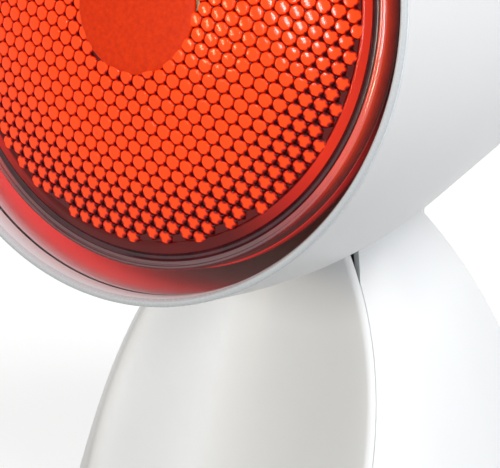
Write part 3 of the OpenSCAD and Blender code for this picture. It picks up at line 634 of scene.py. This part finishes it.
# ---- stand front: hollowed leaf with a rounded lip ----
LIP = 1.3                              # the lip stands this far ahead of the seam
LEAF_WALL = 2.0
DISH = 0.28                            # depth of the hollow, as a share of half its width
ROW_POINTS = 24                        # points of a row inside its lip


def dome_r(z):
    """The stand's radius at the height z."""
    return 58.4 - 0.275 * z - 5.36 * (z / 50) ** 3


def dome_in(z, inset):
    """The stand's radius at z, inset along the dome's normal."""
    rate = 0.275 + 3 * 5.36 / 50 * (z / 50) ** 2
    return dome_r(z) - inset * math.sqrt(1 + rate * rate)


def leaf_at(z):
    """Where the leaning plane of the seam lies at z."""
    return -42 + 0.372 * z


def leaf_half(z, ahead, inset=0.0):
    """Half the leaf's width at z, a distance ahead of the seam's plane."""
    return math.sqrt(max(4.0, dome_in(z, inset) ** 2 - (leaf_at(z) - ahead) ** 2))


def front_row(z):
    """Half of a level section from the middle outwards, then round the lip and back inside."""
    edge, outer = leaf_half(z, LIP), leaf_half(z, 0.12)
    back_x = leaf_half(z, 0.0, LEAF_WALL) - 0.5
    y0 = leaf_at(z)

    def dish(x):
        return y0 - LIP + DISH * edge * max(0.0, 1 - (x / edge) ** 2) ** 1.5

    xs = [edge * math.sin(math.pi / 2 * t) for t in np.linspace(0, 0.9, 26)]
    xs = [x for x in xs if x < edge - 1.1]
    while len(xs) < ROW_POINTS:
        xs.append(xs[-1] * 0.5 + (edge - 1.0) * 0.5)
    pts = [(x, dish(x)) for x in xs[:ROW_POINTS]]

    corner = np.array([edge, y0 - LIP])
    side = np.array([outer - edge, LIP - 0.12])
    length = np.linalg.norm(side)
    start = np.array([edge - 0.9, dish(edge - 0.9)])
    end = corner + side / length * min(0.75, 0.55 * length)
    for t in np.linspace(0, 1, 8):
        q = (1 - t) ** 2 * start + 2 * t * (1 - t) * corner + t * t * end
        pts.append((q[0], q[1]))
    pts += [(outer - 0.08, y0 - 0.22), (outer - 0.25, y0 - 0.12), (outer - 0.6, y0 - 0.08),
            (back_x, y0 - 0.06)]
    pts += [(back_x * t, dish(back_x * t) + LEAF_WALL) for t in np.linspace(0.97, 0.0, 9)]
    return pts


def front_mesh():
    """The leaf as level rows, mirrored in x, with both ends closed."""
    zs = np.concatenate([np.linspace(1.2, 58, 40), np.linspace(59, 76, 14)])
    rows = [front_row(z) for z in zs]
    verts, faces = [], []
    for z, row in zip(zs, rows):
        full = row + [(-x, y) for x, y in row[::-1]][1:-1]
        verts += [(x * MM, y * MM, z * MM) for x, y in full]
    m = 2 * len(rows[0]) - 2
    for i in range(len(zs) - 1):
        for j in range(m):
            k = (j + 1) % m
            faces.append((i * m + j, i * m + k, (i + 1) * m + k, (i + 1) * m + j))
    faces.append(tuple(range(m - 1, -1, -1)))
    top = (len(zs) - 1) * m
    faces.append(tuple(range(top, top + m)))
    return verts, faces


v, f = front_mesh()
front = add_mesh("stand_leaf", v, f, [WHITE], 30)
outward(front)
SADDLE_GAP = 0.55                      # room between the saddle and the head
prof = [(-2.0, 0.0), (-2.0, head_r(0, -SADDLE_GAP))]
prof += [(l, head_r(l, -SADDLE_GAP)) for l in np.linspace(0.5, 120, 60)]
prof += [(120.5, 0.0)]
v, f = lathe(prof)
tool = add_mesh("saddle_tool", v, f, [WHITE], 30)
outward(tool)
cut(front, tool)
shade(front, 30)
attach(front, "stand")
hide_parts("stand_front")

# ---- studio ----
AIM = Vector((0, -0.01, 0.1))


def light(name, az, el, dist, size, power, colour=(1, 1, 1), size_y=None, roll=0):
    """A rectangular lamp that faces AIM from the azimuth az and the elevation el, in degrees."""
    d = bpy.data.lights.new(name, "AREA")
    d.shape = "RECTANGLE"
    d.size = size
    d.size_y = size_y or size
    d.energy = power
    d.color = colour
    o = bpy.data.objects.new(name, d)
    a, e = math.radians(az), math.radians(el)
    back = Vector((math.sin(a) * math.cos(e), -math.cos(a) * math.cos(e), math.sin(e)))
    o.location = AIM + back * dist
    o.rotation_mode = "QUATERNION"
    turn = Quaternion((0, 0, 1), math.radians(roll))
    o.rotation_quaternion = (-back).to_track_quat("-Z", "Y") @ turn
    scene.collection.objects.link(o)


light("side", 74, 20, 2.2, 1.0, 16.0)
light("top", 98, 55, 2.2, 1.2, 28.0)
light("window", -2, 10, 2.4, 0.16, 13.0, size_y=0.60, roll=32)
light("warm", -19, 5, 2.4, 0.12, 6.0, (1.0, 0.80, 0.46), size_y=0.40, roll=32)

WORLD_LIGHT, FLOOR_LIFT = 0.28, 0.76   # the world's light on things, the floor's own

world = bpy.data.worlds.new("studio")
scene.world = world
world.use_nodes = True
nt = world.node_tree
nt.nodes.clear()
out = nt.nodes.new("ShaderNodeOutputWorld")
bg = nt.nodes.new("ShaderNodeBackground")
nt.links.new(bg.outputs[0], out.inputs[0])
bg.inputs["Color"].default_value = (1, 1, 1, 1)


def pale_rays(nt):
    """1 for camera, glossy and transmission rays, 0 for the rest."""
    lp = nt.nodes.new("ShaderNodeLightPath")
    a = nt.nodes.new("ShaderNodeMath")
    a.operation = "MAXIMUM"
    nt.links.new(lp.outputs["Is Camera Ray"], a.inputs[0])
    nt.links.new(lp.outputs["Is Glossy Ray"], a.inputs[1])
    b = nt.nodes.new("ShaderNodeMath")
    b.operation = "MAXIMUM"
    nt.links.new(a.outputs[0], b.inputs[0])
    nt.links.new(lp.outputs["Is Transmission Ray"], b.inputs[1])
    return b.outputs[0]


level = nt.nodes.new("ShaderNodeMapRange")
nt.links.new(pale_rays(nt), level.inputs["Value"])
level.inputs["To Min"].default_value = WORLD_LIGHT
level.inputs["To Max"].default_value = 1.0
nt.links.new(level.outputs[0], bg.inputs["Strength"])

floor_mat, nt, sh = new_mat("pale_floor")
c = ramp(nt, noise(nt, coords(nt), 3.0, 2.0), [(0.3, grey(0.36)), (0.7, grey(0.38))])
nt.links.new(c, sh.inputs["Base Color"])
sh.inputs["Roughness"].default_value = 0.9
sh.inputs["Specular IOR Level"].default_value = 0.1
sh.inputs["Emission Color"].default_value = (1, 1, 1, 1)
lift = nt.nodes.new("ShaderNodeMath")
lift.operation = "MULTIPLY"
nt.links.new(pale_rays(nt), lift.inputs[0])
lift.inputs[1].default_value = FLOOR_LIFT
nt.links.new(lift.outputs[0], sh.inputs["Emission Strength"])

FLOOR_R, n = 6, 96                     # metres, and corners of the disc
turns = [2 * math.pi * i / n for i in range(n)]
verts = [(0, 0, 0)] + [(FLOOR_R * math.cos(a), FLOOR_R * math.sin(a), 0) for a in turns]
faces = [(0, 1 + i, 1 + (i + 1) % n) for i in range(n)]
floor = add_mesh("studio_floor", verts, faces, [floor_mat], 30)
floor.location.z = -0.00002            # just under the feet

# ---- camera at the photograph's angle ----
AZ, EL = math.radians(34.75), math.radians(15.61)
SEEN = Vector((0.0, -67.3, 132.5))     # the point that the offsets are measured from
DIST, OFF_X, OFF_Y = 1.0, -0.02264, 0.05185
SENSOR = 36.0
FOCAL = 4448.9 / 500 * SENSOR          # focal length over the picture's width, times the sensor
right = Vector((math.cos(AZ), math.sin(AZ), 0))
ahead = Vector((-math.sin(AZ) * math.cos(EL), math.cos(AZ) * math.cos(EL), -math.sin(EL)))
up = right.cross(ahead)
cam_data = bpy.data.cameras.new("camera")
cam_data.sensor_width = SENSOR
cam_data.lens = FOCAL
cam_data.clip_start, cam_data.clip_end = 0.05, 30.0
cam = bpy.data.objects.new("camera", cam_data)
scene.collection.objects.link(cam)
place = SEEN * MM - (right * OFF_X + up * OFF_Y + ahead * DIST)
m = Matrix((right, up, -ahead)).transposed().to_4x4()
m.translation = place
cam.matrix_world = m
scene.camera = cam

scene.view_settings.view_transform = "Standard"
